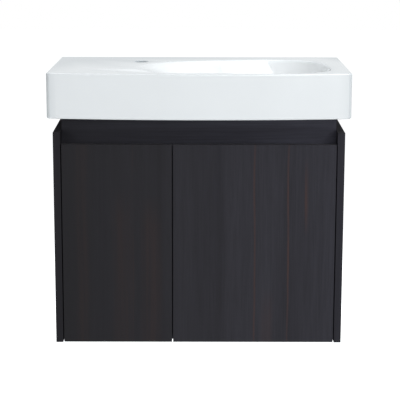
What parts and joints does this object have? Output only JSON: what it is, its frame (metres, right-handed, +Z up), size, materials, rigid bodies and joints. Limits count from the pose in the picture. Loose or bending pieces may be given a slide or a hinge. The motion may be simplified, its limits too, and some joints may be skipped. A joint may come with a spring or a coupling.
{
  "type": "wall-hung vanity unit with basin",
  "caption": "Wall-hung vanity unit: a bow-fronted white ceramic basin with an off-centre bowl on a dark wood cabinet with inset flush doors.",
  "frame": {"origin": "centre of the four wall-screw holes, on the wall plane", "axes": "+X to the right seen from the front, +Y into the wall, +Z up"},
  "size_m": [0.75, 0.3639, 0.69],
  "materials": {
    "ceramic": "gloss",
    "sealant": "satin",
    "soft_pads": "satin",
    "dark_wood": "satin, dark stained",
    "plated_steel": "nickel plated"
  },
  "bodies": {
    "cabinet": {"basin": "ceramic", "basin_seal": "sealant", "door_bumpers": "soft_pads", "side_panel_left": "dark_wood", "side_panel_right": "dark_wood", "bottom_panel": "dark_wood", "centre_partition": "dark_wood", "lower_back_rail": "dark_wood", "neck_front_rail": "dark_wood", "neck_rear_rail": "dark_wood", "neck_side_left": "dark_wood", "neck_side_right": "dark_wood", "shelf": "dark_wood", "wall_plate_left": "plated_steel", "wall_plate_right": "plated_steel", "hanger_hook_left": "plated_steel", "hanger_hook_right": "plated_steel", "hanger_left": "plated_steel", "hanger_right": "plated_steel", "shelf_pins": "plated_steel", "hinge_arm_left_lower": "plated_steel", "hinge_plate_left_lower": "plated_steel", "hinge_arm_left_upper": "plated_steel", "hinge_plate_left_upper": "plated_steel", "hinge_arm_right_lower": "plated_steel", "hinge_plate_right_lower": "plated_steel", "hinge_arm_right_upper": "plated_steel", "hinge_plate_right_upper": "plated_steel"},
    "door_left": {"door_left": "dark_wood", "hinge_cup_left_lower": "plated_steel", "hinge_cup_left_upper": "plated_steel"},
    "door_right": {"door_right": "dark_wood", "hinge_cup_right_lower": "plated_steel", "hinge_cup_right_upper": "plated_steel"}
  },
  "joints": [
    {"name": "door_left_hinge", "type": "hinge", "parent": "cabinet", "child": "door_left", "pos_m": [-0.3235, -0.3172, 0], "axis": [0, 0, -1], "range_deg": [0, 95]},
    {"name": "door_right_hinge", "type": "hinge", "parent": "cabinet", "child": "door_right", "pos_m": [0.3235, -0.3172, 0], "axis": [0, 0, 1], "range_deg": [0, 95]}
  ]
}
